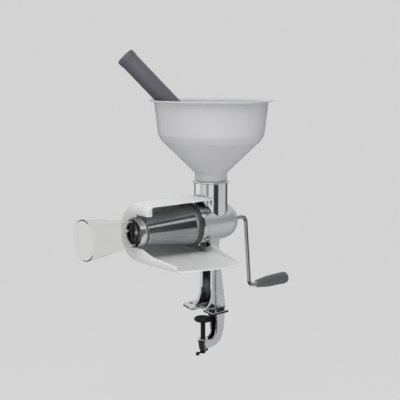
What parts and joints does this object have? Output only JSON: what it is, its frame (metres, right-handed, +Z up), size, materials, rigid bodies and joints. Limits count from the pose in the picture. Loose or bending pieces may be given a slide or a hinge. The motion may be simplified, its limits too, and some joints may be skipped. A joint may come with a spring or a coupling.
{
  "type": "hand-crank food strainer",
  "caption": "Table-clamped hand-crank food strainer with a hopper, plunger, auger, cone screen, white chute and clear waste funnel.",
  "frame": {"origin": "where the hopper's upright centre line meets the table seat, the underside of the foot wings", "axes": "+Z up along the hopper; barrel axis along X with the crank at +X and the screen's small end at -X; the tray discharges toward -Y"},
  "size_m": [0.4231, 0.214, 0.5244],
  "materials": {
    "cast_body": "satin",
    "throat_chrome": "polished",
    "bearing_plastic": "satin moulded",
    "seal_rubber": "matte",
    "hopper_plastic": "satin white",
    "plunger_plastic": "satin dark grey",
    "screen_steel": "perforated sheet",
    "ring_dark": "satin black",
    "chute_plastic": "satin white",
    "funnel_clear": "clear",
    "auger_plastic": "satin white",
    "spring_steel": "bright wire",
    "crank_chrome": "polished",
    "grip_plastic": "satin dark grey",
    "clamp_black": "black",
    "pad_rubber": "matte"
  },
  "bodies": {
    "frame": {"body": "cast_body", "throat_tube": "throat_chrome", "lock_studs": "throat_chrome", "bushing": "bearing_plastic", "shaft_seal": "seal_rubber", "screen_cone": "screen_steel", "screen_ring": "ring_dark", "bayonet_ring": "spring_steel", "screen_gasket": "seal_rubber", "screen_collar": "screen_steel", "tip_bearing": "bearing_plastic"},
    "hopper_body": {"hopper": "hopper_plastic"},
    "plunger_body": {"plunger": "plunger_plastic", "plunger_cap": "plunger_plastic"},
    "chute_body": {"chute": "chute_plastic"},
    "funnel_body": {"waste_funnel": "funnel_clear"},
    "crank_body": {"auger_flight": "auger_plastic", "auger_core": "auger_plastic", "auger_spring": "spring_steel", "drive_screw": "spring_steel", "crank_rod": "crank_chrome", "grip_washer": "spring_steel", "grip_nut": "spring_steel"},
    "grip_body": {"grip": "grip_plastic"},
    "pad_body": {"clamp_pad": "clamp_black", "pad_face": "pad_rubber"},
    "screw_body": {"clamp_screw": "clamp_black", "pad_rivet": "clamp_black"},
    "tee_body": {"tee_bar": "clamp_black", "tee_balls": "clamp_black"}
  },
  "joints": [
    {"name": "crank_turn", "type": "hinge", "parent": "frame", "child": "crank_body", "pos_m": [0, 0, 0.1535], "axis": [1, 0, 0], "continuous": true},
    {"name": "grip_spin", "type": "hinge", "parent": "crank_body", "child": "grip_body", "pos_m": [0.13, -0.01312, 0.02869], "axis": [1, 0, 0], "continuous": true},
    {"name": "hopper_lift", "type": "slide", "parent": "frame", "child": "hopper_body", "axis": [0, 0, 1], "range_m": [0, 0.06]},
    {"name": "plunger_draw", "type": "slide", "parent": "hopper_body", "child": "plunger_body", "axis": [-0.5464, 0.4269, 0.7206], "range_m": [0, 0.15]},
    {"name": "chute_slide", "type": "slide", "parent": "frame", "child": "chute_body", "axis": [-1, 0, 0], "range_m": [0, 0.02]},
    {"name": "funnel_pull", "type": "slide", "parent": "frame", "child": "funnel_body", "axis": [-1, 0, 0], "range_m": [0, 0.03]},
    {"name": "clamp_travel", "type": "slide", "parent": "frame", "child": "pad_body", "axis": [0, 0, 1], "range_m": [-0.024, 0]},
    {"name": "clamp_turn", "type": "hinge", "parent": "pad_body", "child": "screw_body", "pos_m": [-0.0165, 0, -0.05], "axis": [0, 0, 1], "range_deg": [-4400, 0]},
    {"name": "tee_slide", "type": "slide", "parent": "screw_body", "child": "tee_body", "axis": [0.9511, 0.309, 0], "range_m": [-0.0028, 0.0085]}
  ],
  "couplings": [
    {"joint": "clamp_turn", "follows": "clamp_travel", "rad_per_m": 3141.6}
  ]
}
